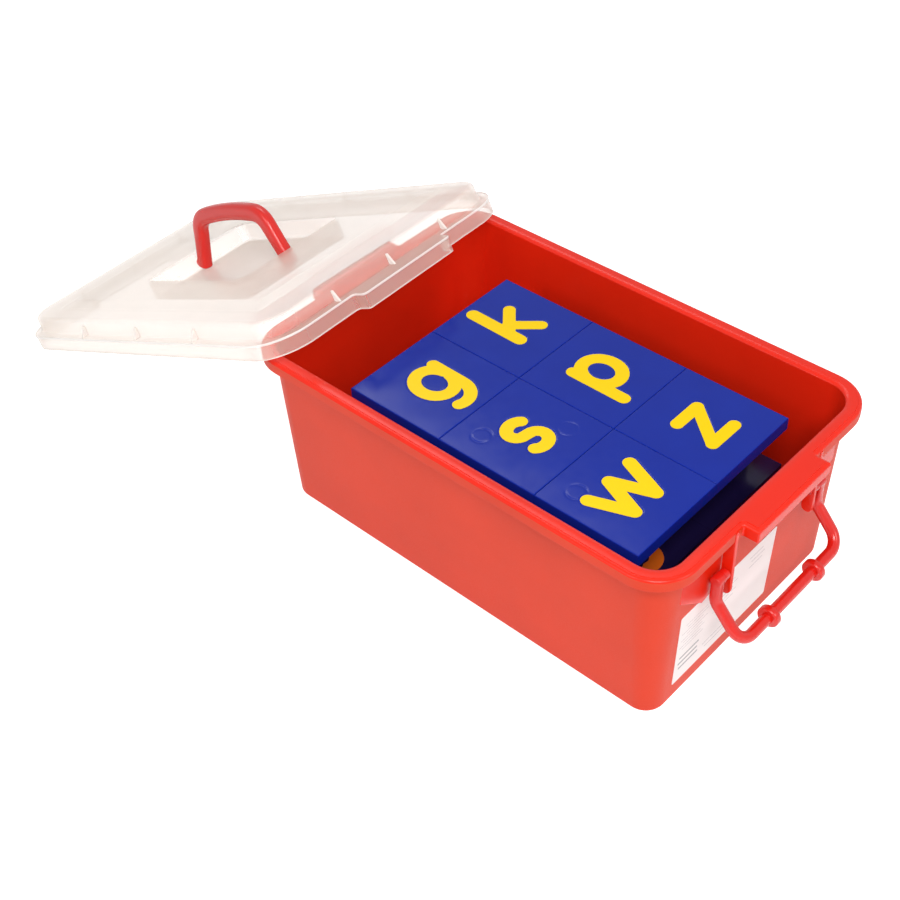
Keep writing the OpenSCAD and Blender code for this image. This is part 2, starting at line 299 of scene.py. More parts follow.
def mouldedRed(name, rough, grainSize, grainHeight, colour, shine):
    # polypropylene, injection moulded and dyed red: a soft gloss, with the mould's spark grain where it shows
    material, tree, surface = newMaterial(name)
    place = add(tree, "ShaderNodeTexCoord")
    base = linear(colour)
    drift = add(tree, "ShaderNodeTexNoise", i0=place.outputs["Object"], Scale=14.0, Detail=3.0)
    speck = add(tree, "ShaderNodeTexNoise", i0=place.outputs["Object"], Scale=1000 / grainSize, Detail=2.0)
    tint = add(tree, "ShaderNodeValToRGB", i0=drift.outputs["Fac"])
    tint.color_ramp.elements[0].position = 0.35
    tint.color_ramp.elements[0].color = [c * 0.95 for c in base[:3]] + [1]
    tint.color_ramp.elements[1].position = 0.7
    tint.color_ramp.elements[1].color = [min(1, c * 1.04) for c in base[:3]] + [1]
    tree.links.new(tint.outputs["Color"], surface.inputs["Base Color"])
    worn = add(tree, "ShaderNodeMapRange", i0=speck.outputs["Fac"], i1=0.3, i2=0.7, i3=rough * 0.9,
               i4=rough * 1.12)
    tree.links.new(worn.outputs["Result"], surface.inputs["Roughness"])
    bump = add(tree, "ShaderNodeBump", Strength=0.5, Distance=grainHeight * mm, Height=speck.outputs["Fac"])
    tree.links.new(bump.outputs["Normal"], surface.inputs["Normal"])
    surface.inputs["IOR"].default_value = 1.49
    surface.inputs["Specular IOR Level"].default_value = shine
    surface.inputs["Subsurface Weight"].default_value = 0.06
    surface.inputs["Subsurface Radius"].default_value = (0.004, 0.001, 0.0005)
    return material


redGloss = mouldedRed("redPolypropyleneGloss", 0.24, 3.0, 0.012, "#ea270f", 0.28)
# the grained red's paler, less saturated colour is painted sheen of the matt outer walls; the grain itself is
# its bump and roughness
redGrainAndSheen = mouldedRed("redPolypropyleneGrainPaintedSheen", 0.5, 0.9, 0.05, "#db3c1d", 0.26)
redHandle = mouldedRed("redHandlePlastic", 0.22, 4.0, 0.01, "#d81f16", 0.5)


def tileBlue(name, dark, light):
    # high impact polystyrene, dyed blue and moulded against a polished plate: glossy, with slow ripples
    material, tree, surface = newMaterial(name)
    place = add(tree, "ShaderNodeTexCoord")
    ripple = add(tree, "ShaderNodeTexNoise", i0=place.outputs["Object"], Scale=38.0, Detail=2.0)
    scuff = add(tree, "ShaderNodeTexNoise", i0=place.outputs["Object"], Scale=160.0, Detail=1.0)
    tint = add(tree, "ShaderNodeValToRGB", i0=ripple.outputs["Fac"])
    tint.color_ramp.elements[0].color = linear(dark)
    tint.color_ramp.elements[1].color = linear(light)
    tree.links.new(tint.outputs["Color"], surface.inputs["Base Color"])
    rough = add(tree, "ShaderNodeMapRange", i0=scuff.outputs["Fac"], i1=0.3, i2=0.7, i3=0.13, i4=0.18)
    tree.links.new(rough.outputs["Result"], surface.inputs["Roughness"])
    bump = add(tree, "ShaderNodeBump", Strength=0.35, Distance=0.25 * mm, Height=ripple.outputs["Fac"])
    tree.links.new(bump.outputs["Normal"], surface.inputs["Normal"])
    surface.inputs["IOR"].default_value = 1.59
    surface.inputs["Specular IOR Level"].default_value = 0.14
    return material


def letterPlastic(name, colour):
    # the same polystyrene in the letter's colour, set flush in the tile
    material, tree, surface = newMaterial(name)
    place = add(tree, "ShaderNodeTexCoord")
    fine = add(tree, "ShaderNodeTexNoise", i0=place.outputs["Object"], Scale=300.0, Detail=3.0)
    tint = add(tree, "ShaderNodeValToRGB", i0=fine.outputs["Fac"])
    base = linear(colour)
    tint.color_ramp.elements[0].color = [c * 0.96 for c in base[:3]] + [1]
    tint.color_ramp.elements[1].color = base
    tree.links.new(tint.outputs["Color"], surface.inputs["Base Color"])
    surface.inputs["Roughness"].default_value = 0.3
    surface.inputs["IOR"].default_value = 1.59
    surface.inputs["Specular IOR Level"].default_value = 0.12
    return material


def frostedClear(name, low, high, colour, rough, through):
    # clear polypropylene: milky, so what is behind it shows paler, and whiter along edges seen side on
    material, tree, surface = newMaterial(name)
    place = add(tree, "ShaderNodeTexCoord")
    cloud = add(tree, "ShaderNodeTexNoise", i0=place.outputs["Object"], Scale=18.0, Detail=3.0)
    edge = add(tree, "ShaderNodeLayerWeight", Blend=0.35)
    haze = add(tree, "ShaderNodeMapRange", i0=edge.outputs["Facing"], i1=0.0, i2=1.0, i3=low, i4=high)
    drift = add(tree, "ShaderNodeMath", {"operation": "MULTIPLY_ADD"}, i0=cloud.outputs["Fac"], i1=0.05,
                i2=haze.outputs["Result"])
    tree.links.new(drift.outputs["Value"], surface.inputs["Alpha"])
    surface.inputs["Base Color"].default_value = linear(colour)
    surface.inputs["Roughness"].default_value = rough
    surface.inputs["IOR"].default_value = 1.49
    surface.inputs["Transmission Weight"].default_value = through
    return material


blue = tileBlue("bluePolystyrene", "#052390", "#08299a")
# the tiles' blue in a much darker pair: painted shade for the shadow the lower tiles sit in under the top
# layer, not a different dye
shadedBlue = tileBlue("bluePolystyrenePaintedShade", "#150f34", "#1d1640")
yellow = letterPlastic("yellowPolystyrene", "#fbd300")
orange = letterPlastic("orangePolystyrene", "#d2641a")
frosted = frostedClear("frostedPolypropylene", 0.2, 0.62, "#fff1e4", 0.32, 0.35)
# a whiter, more opaque copy of the same plastic: painted glow along the edges where light carried in the
# sheet comes out
frostedEdgeGlow = frostedClear("frostedPolypropylenePaintedGlow", 0.66, 0.95, "#fffaf5", 0.25, 0.0)


labelPrint = dict(paper="#f1ebe9", ink="#a3a0a3", blocks=[
    # middle and half size across, middle and half size up, distance between rules, a rule's share of that
    # distance, and how much their ends vary, all but the share in mm
    (-67, 12, 62, 13, 3.4, 0.12, 7), (-31, 12, 66, 11, 4.2, 0.1, 9), (-69, 11, 35, 8, 5.4, 0.38, 3),
    (-36, 13, 27, 5, 4.6, 0.14, 8), (5, 8, 72, 6, 5.0, 0.12, 6)])


def labelPaper():
    # coated paper sticker: white, with blocks of plain grey rules in place of any print
    material, tree, surface = newMaterial("coatedPaper")
    place = add(tree, "ShaderNodeTexCoord")
    parts = add(tree, "ShaderNodeSeparateXYZ", i0=place.outputs["Object"])
    across, height = parts.outputs["Y"], parts.outputs["Z"]
    ink = None
    for y, halfY, z, halfZ, pitch, share, uneven in labelPrint["blocks"]:
        # a rule shows where the height's share of one pitch is near a half, and ends a random length early
        row = add(tree, "ShaderNodeMath", {"operation": "DIVIDE"}, i0=height, i1=pitch * mm)
        within = add(tree, "ShaderNodeMath", {"operation": "FRACT"}, i0=row.outputs["Value"])
        rule = add(tree, "ShaderNodeMath", {"operation": "COMPARE"}, i0=within.outputs["Value"], i1=0.5,
                   i2=share / 2)
        number = add(tree, "ShaderNodeMath", {"operation": "FLOOR"}, i0=row.outputs["Value"])
        chance = add(tree, "ShaderNodeTexWhiteNoise", {"noise_dimensions": "1D"}, W=number.outputs["Value"])
        shifted = add(tree, "ShaderNodeMath", {"operation": "MULTIPLY_ADD"}, i0=chance.outputs["Value"],
                      i1=uneven * mm, i2=across)
        inWidth = add(tree, "ShaderNodeMath", {"operation": "COMPARE"}, i0=shifted.outputs["Value"],
                      i1=(y + uneven / 2) * mm, i2=halfY * mm)
        inHeight = add(tree, "ShaderNodeMath", {"operation": "COMPARE"}, i0=height, i1=z * mm, i2=halfZ * mm)
        block = add(tree, "ShaderNodeMath", {"operation": "MULTIPLY"}, i0=inWidth.outputs["Value"],
                    i1=inHeight.outputs["Value"])
        shown = add(tree, "ShaderNodeMath", {"operation": "MULTIPLY"}, i0=rule.outputs["Value"],
                    i1=block.outputs["Value"])
        if ink:
            shown = add(tree, "ShaderNodeMath", {"operation": "MAXIMUM"}, i0=ink.outputs["Value"],
                        i1=shown.outputs["Value"])
        ink = shown
    mix = add(tree, "ShaderNodeMix", {"data_type": "RGBA"}, i0=ink.outputs["Value"],
              i6=linear(labelPrint["paper"]), i7=linear(labelPrint["ink"]))
    tree.links.new(mix.outputs[2], surface.inputs["Base Color"])
    surface.inputs["Roughness"].default_value = 0.4
    return material


paper = labelPaper()
print("materials made")


# sizes in mm. The levels are heights of the wall's rings. Along its foot the lip is set in behind a small
# step, and a shallow step down along the rim's outer edge is the groove
tub = dict(rimLength=380, rimWidth=245, height=147, rimRadius=32, flange=9.2, lip=10.5, wall=2.2, floor=3,
           taper=11.6, baseRadius=15.5, baseIn=14, baseRound=3.5, floorRound=5,
           outsideLevels=(12, 30, 60, 90, 120), insideLevels=(138, 120, 90, 60, 30),
           out=11.5, crownAcross=6, crownDrop=2.2, crownFlat=0.6, rimRound=2.2, rimSide=5,
           grooveIn=3.0, grooveDeep=0.5, grooveEase=0.35, grooveStep=0.2, grooveFlat=0.6,
           lipRound=0.7, lipInner=0.4, footIn=0.25, footHigh=2.3, footStep=0.3,
           flangeThick=2.4, underRound=0.8)
tubTab = dict(width=84, fillet=1.2)


def bodyRing(z, outwards=0.0):
    # the tapered body's outline at height z, moved outwards from the outer wall
    k = z / tub["height"]
    mouth = tub["rimLength"] - 2 * tub["flange"], tub["rimWidth"] - 2 * tub["flange"]
    radius = tub["baseRadius"] + (tub["rimRadius"] - tub["flange"] - tub["baseRadius"]) * k
    grow = 2 * outwards - tub["taper"] * (1 - k)
    return at(planRing(mouth[0] + grow, mouth[1] + grow, radius + outwards, tubTab), z)


def rimRing(z, inwards):
    return at(planRing(tub["rimLength"], tub["rimWidth"], tub["rimRadius"], tubTab, tub["out"], inwards), z)


def tubShell():
    # profile of the moulding carried round its plan: under the base, up the wall, round the lip, over the rim
    # and down the inside
    t, top, wall = tub, tub["height"], tub["wall"]
    low, under = top - t["lip"], top - t["flangeThick"]
    groove, deep, base, foot = t["grooveIn"], t["grooveDeep"], t["baseRound"], low + t["footHigh"]
    rings = [bodyRing(0, -t["baseIn"])]
    rings += [bodyRing(max(z, 0), x) for x, z in arc(-base, base, base, -90, 0, 5)]
    rings += [bodyRing(z) for z in t["outsideLevels"]]
    rings += [bodyRing(under - t["underRound"], 0), bodyRing(under, t["underRound"])]
    rings += [rimRing(under, wall), rimRing(low + t["lipInner"], wall), rimRing(low, wall - t["lipInner"])]
    rings += [rimRing(z, x) for x, z in
              arc(t["lipRound"] + t["footIn"], low + t["lipRound"], t["lipRound"], 270, 180, 4)]
    rings += [rimRing(foot, t["footIn"]), rimRing(foot + t["footStep"], 0), rimRing(top - t["rimSide"], 0)]
    rings += [rimRing(z, x) for x, z in
              arc(t["rimRound"], top - deep - t["rimRound"], t["rimRound"], 180, 90, 6)]
    rings += [rimRing(top - deep, groove - t["grooveEase"]), rimRing(top - deep, groove)]
    rings += [rimRing(top, groove + t["grooveStep"]), rimRing(top, groove + t["grooveFlat"])]
    # the rim's inner half falls away towards the mouth as a quarter of an ellipse
    across, drop = t["crownAcross"], t["crownDrop"]
    rings.append(bodyRing(top, across - wall + t["crownFlat"]))
    rings += [at(bodyRing(top, across * x - wall)[:, :2], top + drop * (z - 1))
              for x, z in arc(1, 0, 1, 90, 180, 9)]
    rings += [bodyRing(z, -wall) for z in t["insideLevels"]]
    rings += [bodyRing(z, -wall - t["floorRound"] + x) for x, z in
              arc(0, t["floor"] + t["floorRound"], t["floorRound"], 0, -90, 5)]
    return loft(rings)


# ease is the share of a rounded edge's radius at which its middle ring stands. The web runs from the ear's
# webStart down to webLow and out to webEnd, at webHigh, and its front slopes from webX to webFarX
ear = dict(x0=182.2, x1=190.6, y=48.6, thick=3.2, low=92, round=0.6, ease=0.3, pinX=186.5, pinZ=107.5,
           hole=2.66, webX=181.4, webFarX=179.8, webStart=91.8, webLow=(66, 86.8), webEnd=90, webHigh=104.8,
           webRound=0.8)


def earShape():
    # plate with a round foot and a hole: its outline, drawn in at each face, joined to the hole's circle
    e, top = ear, tub["height"] - tub["flangeThick"]
    radius = (e["x1"] - e["x0"]) / 2
    outline = joined(line(e["x1"], top, e["x0"], top, 8), line(e["x0"], top, e["x0"], e["low"], 12),
                     arc(e["x0"] + radius, e["low"], radius, 180, 360, 16),
                     line(e["x1"], e["low"], e["x1"], top, 12))[:-1]
    pin = np.array([e["pinX"], e["pinZ"]])
    hole = outline - pin
    hole = pin + e["hole"] * hole / np.linalg.norm(hole, axis=1)[:, None]

    def flat(ring, y):
        return np.stack([ring[:, 0], np.full(len(ring), y), ring[:, 1]], 1)

    y0, y1, r = e["y"] - e["thick"] / 2, e["y"] + e["thick"] / 2, e["round"]
    eased = r * e["ease"]
    return loft([flat(inset(outline, r), y0), flat(inset(outline, eased), y0 + eased),
                 flat(outline, y0 + r), flat(outline, y1 - r),
                 flat(inset(outline, eased), y1 - eased), flat(inset(outline, r), y1),
                 flat(hole, y1), flat(hole, y0)], loop=True)


def webShape():
    # brace between an ear and the wall: its outline on the sloping front, then on the wall behind
    e, top = ear, tub["height"] - tub["flangeThick"]
    y, end, start, high = e["y"], e["webEnd"], e["webStart"], e["webHigh"]
    outline = joined(line(y, top, y, start, 6), line(y, start, *e["webLow"], 5),
                     line(*e["webLow"], end, high, 6), line(end, high, end, top, 6),
                     line(end, top, y, top, 6))[:-1]

    def front(ring, back):
        slope = (e["webFarX"] - e["webX"]) / (end - y)
        x = e["webX"] + (ring[:, 0] - y) * slope - back
        return np.stack([x, ring[:, 0], ring[:, 1]], 1)

    r, eased = e["webRound"], e["webRound"] * e["ease"]
    behind = front(outline, 0)
    foot, mouth = bodyRing(0)[0, 0], bodyRing(tub["height"])[0, 0]
    behind[:, 0] = foot + (mouth - foot) * outline[:, 1] / tub["height"] - tub["wall"] / 2
    return loft([front(inset(outline, r), 0), front(inset(outline, eased), eased), front(outline, r), behind])


def tubGrainAndSheen(centre, normal):
    # 1, the mould's spark grain, on the outer walls and the lip's long faces, whose paler red paints in the
    # sheen these grained faces show; 0, polished, on everything else
    high, top = centre[:, 2], tub["height"]
    outer = (np.abs(normal[:, 2]) < 0.5) & (centre[:, 0] * normal[:, 0] + centre[:, 1] * normal[:, 1] > 0)
    body = (np.abs(centre[:, 0]) < ear["webX"] - 0.1) & (high < top - tub["lip"])
    lip = (np.abs(centre[:, 1]) > tubTab["width"] / 2 + 1.5) & (high > top - tub["lip"] - 1)
    skin = np.arange(len(centre)) < len(tubSkin[1])
    return skin & outer & (high < top - tub["rimRound"]) & (lip | body)


tubSkin = tubShell()
brackets = merged(earShape(), webShape())
brackets = merged(brackets, mirrored(brackets, "y"))
brackets = merged(brackets, mirrored(brackets, "x"))
addPiece("tubMoulding", merged(tubSkin, brackets), "tub", [redGloss, redGrainAndSheen],
         replaces=["tub"], pick=tubGrainAndSheen)
print("tub made")


label = dict(y0=-85, y1=25, z0=16.5, z1=86, thick=0.25, radius=1.5, off=0.02)


def labelShape():
    # rounded rectangle on the drafted end wall, turned about the wall's foot
    n = label
    ring = planRing(n["y1"] - n["y0"], n["z1"] - n["z0"], n["radius"], dict(width=20, fillet=1))
    ring = ring + [(n["y0"] + n["y1"]) / 2, (n["z0"] + n["z1"]) / 2]
    rings = [np.stack([np.full(len(ring), x), ring[:, 0], ring[:, 1]], 1) for x in (0, n["thick"])]
    verts, faces = loft([r + [n["off"], 0, 0] for r in rings])
    draft = math.degrees(math.atan2(tub["taper"] / 2, tub["height"]))
    verts = turned(verts, "y", draft) + [bodyRing(0)[0, 0], 0, 0]
    return verts, faces


addPiece("paperLabel", labelShape(), "tub", [paper], replaces=["label"])
print("label made")


lid = dict(gap=3, extra=0.4, skirt=12.9, top=27, thick=2, restAt=339.65, reach=6.1, tableGap=0.05, yaw=1.44,
           y=-11.7, stepIn=7.2, bead=0.6, plateau=3, plateauLength=306, plateauWidth=202, slope=12,
           wellLength=140, wellWidth=108, wellFloor=14, shoulder=4.0, ribSpan=58, ribPitch=85, ribThick=1.6,
           ribHigh=9, ribRound=0.3)
lidTab = dict(width=93, fillet=3.2, out=12.5)
lidLength = tub["rimLength"] + 2 * lid["gap"]
lidWidth = tub["rimWidth"] + 2 * lid["gap"] + lid["extra"]
lidRadius = tub["rimRadius"] + 2
lean = math.asin((tub["height"] - lid["reach"] - lid["tableGap"]) / lid["restAt"])
lidZ = (lidLength / 2 + lidTab["out"]) * math.sin(lean) + lid["tableGap"]
lidX = -tub["rimLength"] / 2 - (tub["height"] - lid["reach"] - lidZ) / math.tan(lean)


def onLid(points):
    # from the lid's own frame to where it leans: a turn about y, a turn about z and a shift
    return turned(turned(points, "y", -math.degrees(lean)), "z", lid["yaw"]) + [lidX, lid["y"], lidZ]


def skirtRing(inwards):
    return planRing(lidLength, lidWidth, lidRadius, lidTab, lidTab["out"], inwards)


def stepRing(inwards):
    s = 2 * (lid["stepIn"] + inwards)
    return planRing(lidLength - s, lidWidth - s, lidRadius - lid["stepIn"] - inwards, lidTab)


def boxRing(length, width, radius):
    return planRing(length, width, radius, lidTab)


def lidShell():
    # the outer skin from the skirt's bottom edge to the well, then the inner skin back, one wall's thickness
    # away. Each row is a distance inwards, or a size, and a height
    n, t, bead = lid, lid["thick"], lid["bead"]
    ledge, top = n["skirt"], n["top"]
    high = top + n["plateau"]
    foot, sh = n["wellFloor"], n["shoulder"]
    full = n["plateauLength"], n["plateauWidth"]
    small = full[0] - 2 * n["slope"], full[1] - 2 * n["slope"]
    well = n["wellLength"], n["wellWidth"]
    outer = [at(skirtRing(x), z) for x, z in
             ((0.5, 0), (0.15, 0.15), (0, 0.5), (0, 5), (0, ledge - 2.0), (-bead * 0.7, ledge - 1.6),
              (-bead, ledge - 1.1), (-bead * 0.9, ledge - 0.4), (-bead * 0.4, ledge), (0.6, ledge))]
    outer += [at(stepRing(x), z) for x, z in
              ((-1.6, ledge), (-0.7, ledge + 0.35), (0, ledge + 1.4), (0.3, top - sh - 2))]
    outer += [at(stepRing(sh + 0.3 - sh * math.cos(a)), top - sh + sh * math.sin(a))
              for a in np.radians([0, 18, 36, 54, 72, 90])]
    outer += [at(boxRing(full[0] + 6, full[1] + 6, 9), top), at(boxRing(*full, 6), top),
              at(boxRing(full[0] - 1, full[1] - 1, 5.8), top + 0.2),
              at(boxRing(small[0] + 1, small[1] + 1, 4.2), high - 0.2), at(boxRing(*small, 4), high),
              at(boxRing(small[0] - 4, small[1] - 4, 4), high)]
    outer += [at(boxRing(well[0] + 2 * x, well[1] + 2 * x, 6 + x), z) for x, z in
              ((6, high), (1.6, high), (0.5, high - 0.5), (0, high - 1.6), (0, foot + 2.2),
               (-0.6, foot + 0.7), (-2.2, foot))]
    inner = [at(boxRing(well[0] + 2 * x, well[1] + 2 * x, 6 + max(x, 0)), z) for x, z in
             ((-1, foot - t), (t - 0.6, foot - t + 0.5), (t, foot - t + 1.8), (t, high - t))]
    inner += [at(boxRing(small[0] - t, small[1] - t, 4), high - t),
              at(boxRing(full[0] - t, full[1] - t, 6), top - t)]
    inner += [at(stepRing(t + 0.3 + sh - (sh - 0.5) * math.cos(a)), top - t - sh + sh * math.sin(a))
              for a in np.radians([90, 60, 30, 0])]
    inner += [at(stepRing(t), ledge - t + 0.5), at(stepRing(t - 0.5), ledge - t)]
    inner += [at(skirtRing(x), z) for x, z in
              ((t + 0.4, ledge - t), (t, ledge - t - 0.4), (t, 0.5), (t - 0.5, 0))]
    # a smaller ring on each side of the well's floor, so that the fans that close it are short
    middle = boxRing(well[0] - 40, well[1] - 40, 4)
    outer.append(at(middle, foot))
    inner.insert(0, at(middle, foot - t))
    return loft(inner + outer)


def ribShape(x, y, towards):
    # three-cornered fin on the ledge: its outline, drawn in at both faces. Towards is the way it points
    reach, z, back, tip = lid["stepIn"] - 1, lid["skirt"] - 0.5, -1, 1
    high = z + lid["ribHigh"]
    outline = joined(line(back, z, reach, z, 5), line(reach, z, tip, high, 6),
                     line(tip, high, back, high, 3), line(back, high, back, z, 5))[:-1]
    half, r = lid["ribThick"] / 2, lid["ribRound"]
    drawnIn = inset(outline, r)
    rings = [np.stack([ring[:, 0], np.full(len(ring), place), ring[:, 1]], 1) for ring, place in
             ((drawnIn, -half), (outline, -half + r), (outline, half - r), (drawnIn, half))]
    verts, faces = loft(rings)
    return turned(verts, "z", towards) + [x, y, 0], faces


def lidRibs():
    n, ribs = lid, []
    for side in (-1, 1):
        for k in (-1, 0, 1):
            ribs.append(ribShape(side * (lidLength / 2 - n["stepIn"]), k * n["ribSpan"], 90 - 90 * side))
            ribs.append(ribShape(k * n["ribPitch"], side * (lidWidth / 2 - n["stepIn"]), 90 * side))
    return ribs


def lidGlowFaces(centre, normal):
    # 1, a whiter and more opaque copy that paints in the glow where light carried in the sheet leaves it: the
    # skirt's foot, the bead along the ledge and the fins. 0 everywhere else
    local = turned(turned(centre - [lidX, lid["y"], lidZ], "z", -lid["yaw"]), "y", math.degrees(lean))
    foot = local[:, 2] < 0.6
    bead = (local[:, 2] > lid["skirt"] - 1.7) & (local[:, 2] < lid["skirt"] - 0.05)
    return foot | bead | (np.arange(len(centre)) >= len(lidSkin[1]))


lidSkin = lidShell()
addPiece("lidMoulding", moved(merged(lidSkin, *lidRibs()), onLid), "lid",
         [frosted, frostedEdgeGlow], sharp=45, replaces=["lid"], pick=lidGlowFaces)
print("lid made")


# the loop's section grows from the leg's width to the bar's between two heights. Its pins start inside the
# legs, at pinFrom, and end pinIn past the well's side
grip = dict(z=20, high=40.6, heel=3.8, sole=1.2, foot=63, top=51.2, bend=18, bendFrom=84, bendTo=12,
            leanOver=5.7, leg=12.4, bar=14.6, growFrom=12, growOver=26, thick=10.8, crown=2.2, power=2.9,
            pin=2.5, boss=4.0, pinFrom=62, pinIn=1.6, spacing=2.2)


def gripShape():
    # half the loop: a slightly crowned bar, a bend and a sloping leg. The other half is its mirror image
    g = grip
    centre = np.array([g["top"] - g["bend"], g["high"] - g["bend"]])
    bend = arc(centre[0], centre[1], g["bend"], g["bendFrom"], g["bendTo"], 16)
    peak = g["high"] + g["crown"]
    bar = line(0, peak, *bend[0], 12)
    bar[:, 1] = peak - (peak - bend[0][1]) * (bar[:, 0] / bend[0][0]) ** 2
    half = joined(bar, bend, line(*bend[-1], g["foot"], g["sole"] - g["heel"], 14))
    whole = np.concatenate([half[::-1], half[1:] * [-1, 1]])
    path = resampled(np.stack([whole[:, 0], np.zeros(len(whole)), whole[:, 1]], 1), g["spacing"])
    for k in range(2):
        # each point becomes half of itself and a quarter of each neighbour, which softens the bends
        path[1:-1] = (path[:-2] + 2 * path[1:-1] + path[2:]) / 4
    level = np.clip((path[:, 2] - g["growFrom"]) / g["growOver"], 0, 1)
    across = (g["leg"] + (g["bar"] - g["leg"]) * level) / 2
    loop = sweep(path, across, g["thick"] / 2, g["power"], (1, 0, 0))
    side = g["foot"] + g["leg"] / 2 - g["pinFrom"]
    end = lid["wellLength"] / 2 + g["pinIn"] - g["pinFrom"]
    profile = [(g["boss"] - 0.5, 0), (g["boss"], 0.4), (g["boss"], side - 0.3), (g["boss"] - 0.6, side + 0.3),
               (g["pin"], side + 0.4), (g["pin"], end - 0.4), (g["pin"] - 0.4, end)]
    pin = moved(lathe(profile), lambda v: turned(v, "z", -90) + [g["pinFrom"], 0, 0])
    return merged(loop, pin, mirrored(pin, "x"))


def onGrip(points):
    return onLid(turned(points, "x", -grip["leanOver"]) + [0, 0, grip["z"]])


addPiece("lidHandle", moved(gripShape(), onGrip), "lid_handle", [redHandle],
         replaces=["lid_handle"])
print("lid handle made")


# each arm is flatter and squarer than the rod: armThin is what it loses in half its depth, armSquare what the
# power of its section gains, and it changes over the height armOver, from armAbove over the knee
clip = dict(kneeDrop=19.5, outX=22.8, downZ=45.9, span=119, rod=8.5, boss=3.8, bend=12, kneeBend=9, pin=2.6,
            head=4.2, arm=6.4, armThin=0.4, armSquare=1.6, armAbove=2, armOver=6, collar=16, collarThick=6,
            collarSpan=54, spacing=2.2)


def clipShape():
    # one rod: arm down from the pin, knee, sloping leg, bend and bar, then the same on the other side
    c, pivotX, pivotZ = clip, ear["pinX"], ear["pinZ"]
    legY, kneeZ = c["span"] / 2, pivotZ - c["kneeDrop"]
    top = [pivotX, legY, pivotZ]
    knee = [pivotX, legY, kneeZ]
    low = [pivotX + c["outX"], legY, pivotZ - c["downZ"]]
    flip = np.array([1, -1, 1])
    corners = [top, knee, low, low * flip, knee * flip, top * flip]
    path = resampled(rounded(corners, [c["kneeBend"], c["bend"], c["bend"], c["kneeBend"]]), c["spacing"])
    flat = np.clip((path[:, 2] - kneeZ - c["armAbove"]) / c["armOver"], 0, 1)
    loop = sweep(path, (c["rod"] + (c["arm"] - c["rod"]) * flat) / 2, c["rod"] / 2 - c["armThin"] * flat,
                 2 + c["armSquare"] * flat, (0, 1, 0))
    inner, outer = ear["y"] - ear["thick"] / 2 - 1.2, legY + c["arm"] / 2
    boss, face = ear["y"] + ear["thick"] / 2 + 0.4, legY - c["arm"] / 2
    head = moved(lathe([(c["pin"] - 0.5, inner), (c["pin"], inner + 0.5), (c["pin"], boss),
                        (c["boss"] - 0.5, boss), (c["boss"], boss + 0.5), (c["boss"], face - 1),
                        (c["head"] - 0.6, face - 1), (c["head"], face - 0.4), (c["head"], outer - 0.6),
                        (c["head"] - 0.25, outer - 0.17), (c["head"] - 0.6, outer)]),
                 lambda v: v + [pivotX, 0, pivotZ])
    r, h, core = c["collar"] / 2, c["collarThick"] / 2, c["rod"] / 2 - 0.5
    side = [(r - 1.5, -h), (r - 0.6, -h + 0.3), (r, -h + 1.1)]
    ring = [(core, -h), *side, (r, 0), *[(a, -s) for a, s in side[::-1]], (core, h)]
    collar = moved(lathe(ring), lambda v: v + [low[0], c["collarSpan"] / 2, low[2]])
    return merged(loop, head, mirrored(head, "y"), collar, mirrored(collar, "y"))


nearClip = clipShape()
farClip = moved(nearClip, lambda v: turned(v, "z", 180))
addPiece("nearClipHandle", nearClip, "near_clip", [redHandle], replaces=["near_clip_handle"])
addPiece("farClipHandle", farClip, "far_clip", [redHandle], replaces=["far_clip_handle"])
print("clip handles made")


# sizes in mm. The ripples are three waves by their length over a full turn, and each letter's centre is sunk
tile = dict(edge=0.8, spacing=0.6, groove=0.3, grooveWidth=0.45, ripple=0.02, waves=(11, 13, 7), mark=7.0,
            markWidth=0.9, markDeep=0.25, sunk=0.5, sunkFrom=0.6)
bowl = (13.6, 15.7)


# each letter is a list of strokes: their points from the tile's centre and their half width
letters = {
    "k": [([(-8, 32), (-8.8, -14.7)], 5.4), ([(-5, -1), (13.9, 15)], 4.8),
          ([(-1, 3.5), (14.8, -15.7)], 4.8)],
    "p": [([(-12.9, 17), (-13.1, -28.6)], 5.1), (oval(0.7, 1.8, *bowl, -169, 169), 5.1)],
    "z": [([(-11.2, 12.2), (12.4, 12.2)], 4.8), ([(12.4, 12.2), (-12.6, -18)], 4.6),
          ([(-12.6, -18), (12.8, -18.2)], 4.8)],
    "g": [(np.vstack([[(14.4, 15)], oval(-0.6, -14, 14.4, 16.6, 0, -114, 14)]), 4.9),
          (oval(0, 0.2, *bowl, 11, 349), 5.1)],
    "s": [(np.vstack([oval(0, 6.6, 9.3, 7.8, 34, 240, 14), oval(0, -9, 9.4, 8.3, 64, -141, 14)]), 4.9)],
    "w": [([(-23.6, 12.6), (-12.6, -17)], 5.1), ([(-12.6, -17), (-0.7, 12.8)], 5.1),
          ([(-0.7, 12.8), (10.4, -17)], 5.1), ([(10.4, -17), (22.4, 13.4)], 5.1)],
}
# places of the rings that the ejector pins left, from the tile's centre, and how strong each is
marks = {"s": [(-21, 22, 1.0), (22, -19, 0.5)], "w": [(-22.5, 23, 0.9)]}


def strokeDistance(u, v, points, radius):
    # distance from each place to the nearest of the stroke's straight runs, less the half width
    best = np.full(u.shape, 1e9)
    for (ax, ay), (bx, by) in zip(points[:-1], points[1:]):
        dx, dy = bx - ax, by - ay
        share = np.clip(((u - ax) * dx + (v - ay) * dy) / (dx * dx + dy * dy), 0, 1)
        best = np.minimum(best, np.hypot(u - ax - share * dx, v - ay - share * dy))
    return best - radius


